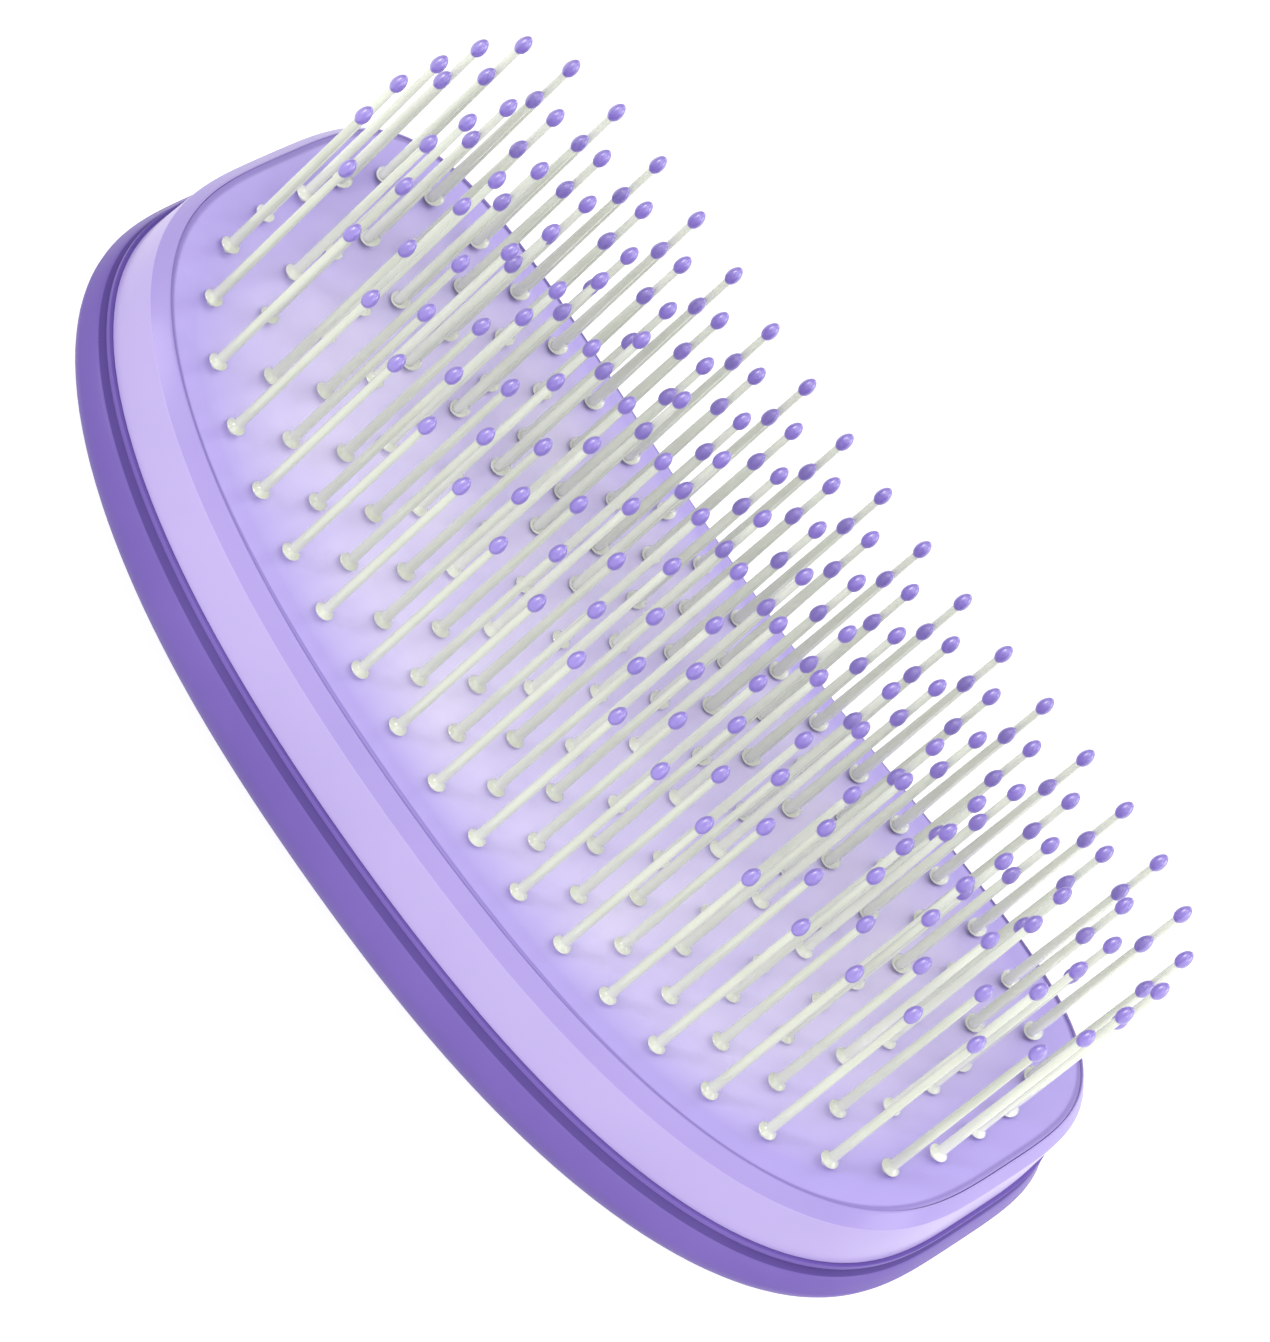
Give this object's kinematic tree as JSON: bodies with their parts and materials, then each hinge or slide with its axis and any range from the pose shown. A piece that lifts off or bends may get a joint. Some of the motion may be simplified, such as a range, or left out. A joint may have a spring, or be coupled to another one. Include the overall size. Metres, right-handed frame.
{
  "type": "detangling brush",
  "caption": "Palm-held detangling brush: a bent shell and frame round an air-cushioned rubber pad, with ball-tipped pins of two heights.",
  "frame": {"origin": "middle of the flat land on the back shell, where the brush lies", "axes": "+X along the brush's length, +Y across it, +Z along the pins, away from the palm"},
  "size_m": [0.1248, 0.0652, 0.0515],
  "materials": {
    "shell": "satin moulded plastic",
    "frame": "satin moulded plastic",
    "plate": "plain moulded plastic",
    "pad": "soft matt rubber",
    "pin": "glossy translucent nylon",
    "tip": "glossy coated nylon"
  },
  "bodies": {
    "root": {"back_shell": "shell", "front_frame": "frame", "base_plate": "plate"},
    "pad": {"rubber_pad": "pad"},
    "row_1": {"pin_row_1": "pin", "pin_tips_1": "tip"},
    "row_2": {"pin_row_2": "pin", "pin_tips_2": "tip"},
    "row_3": {"pin_row_3": "pin", "pin_tips_3": "tip"},
    "row_4": {"pin_row_4": "pin", "pin_tips_4": "tip"},
    "row_5": {"pin_row_5": "pin", "pin_tips_5": "tip"},
    "row_6": {"pin_row_6": "pin", "pin_tips_6": "tip"},
    "row_7": {"pin_row_7": "pin", "pin_tips_7": "tip"},
    "row_8": {"pin_row_8": "pin", "pin_tips_8": "tip"},
    "row_9": {"pin_row_9": "pin", "pin_tips_9": "tip"}
  },
  "joints": [
    {"name": "pad_press", "type": "slide", "parent": "root", "child": "pad", "axis": [0, 0, -1], "range_m": [0, 0.0016], "stiffness_N_per_m": 1500},
    {"name": "row_1_lean", "type": "hinge", "parent": "pad", "child": "row_1", "pos_m": [0, -0.0238, 0.0222], "axis": [1, 0, 0], "range_deg": [-6, 6], "stiffness_Nm_per_rad": 0.05, "deforming": ["rubber_pad"]},
    {"name": "row_2_lean", "type": "hinge", "parent": "pad", "child": "row_2", "pos_m": [0, -0.01785, 0.0222], "axis": [1, 0, 0], "range_deg": [-6, 6], "stiffness_Nm_per_rad": 0.05, "deforming": ["rubber_pad"]},
    {"name": "row_3_lean", "type": "hinge", "parent": "pad", "child": "row_3", "pos_m": [0, -0.0119, 0.0222], "axis": [1, 0, 0], "range_deg": [-6, 6], "stiffness_Nm_per_rad": 0.05, "deforming": ["rubber_pad"]},
    {"name": "row_4_lean", "type": "hinge", "parent": "pad", "child": "row_4", "pos_m": [0, -0.00595, 0.0222], "axis": [1, 0, 0], "range_deg": [-6, 6], "stiffness_Nm_per_rad": 0.05, "deforming": ["rubber_pad"]},
    {"name": "row_5_lean", "type": "hinge", "parent": "pad", "child": "row_5", "pos_m": [0, 0, 0.0222], "axis": [1, 0, 0], "range_deg": [-6, 6], "stiffness_Nm_per_rad": 0.05, "deforming": ["rubber_pad"]},
    {"name": "row_6_lean", "type": "hinge", "parent": "pad", "child": "row_6", "pos_m": [0, 0.00595, 0.0222], "axis": [1, 0, 0], "range_deg": [-6, 6], "stiffness_Nm_per_rad": 0.05, "deforming": ["rubber_pad"]},
    {"name": "row_7_lean", "type": "hinge", "parent": "pad", "child": "row_7", "pos_m": [0, 0.0119, 0.0222], "axis": [1, 0, 0], "range_deg": [-6, 6], "stiffness_Nm_per_rad": 0.05, "deforming": ["rubber_pad"]},
    {"name": "row_8_lean", "type": "hinge", "parent": "pad", "child": "row_8", "pos_m": [0, 0.01785, 0.0222], "axis": [1, 0, 0], "range_deg": [-6, 6], "stiffness_Nm_per_rad": 0.05, "deforming": ["rubber_pad"]},
    {"name": "row_9_lean", "type": "hinge", "parent": "pad", "child": "row_9", "pos_m": [0, 0.0238, 0.0222], "axis": [1, 0, 0], "range_deg": [-6, 6], "stiffness_Nm_per_rad": 0.05, "deforming": ["rubber_pad"]}
  ],
  "couplings": [
    {"joint": "row_1_lean", "follows": "row_5_lean", "ratio": 1},
    {"joint": "row_2_lean", "follows": "row_5_lean", "ratio": 1},
    {"joint": "row_3_lean", "follows": "row_5_lean", "ratio": 1},
    {"joint": "row_4_lean", "follows": "row_5_lean", "ratio": 1},
    {"joint": "row_6_lean", "follows": "row_5_lean", "ratio": 1},
    {"joint": "row_7_lean", "follows": "row_5_lean", "ratio": 1},
    {"joint": "row_8_lean", "follows": "row_5_lean", "ratio": 1},
    {"joint": "row_9_lean", "follows": "row_5_lean", "ratio": 1}
  ]
}
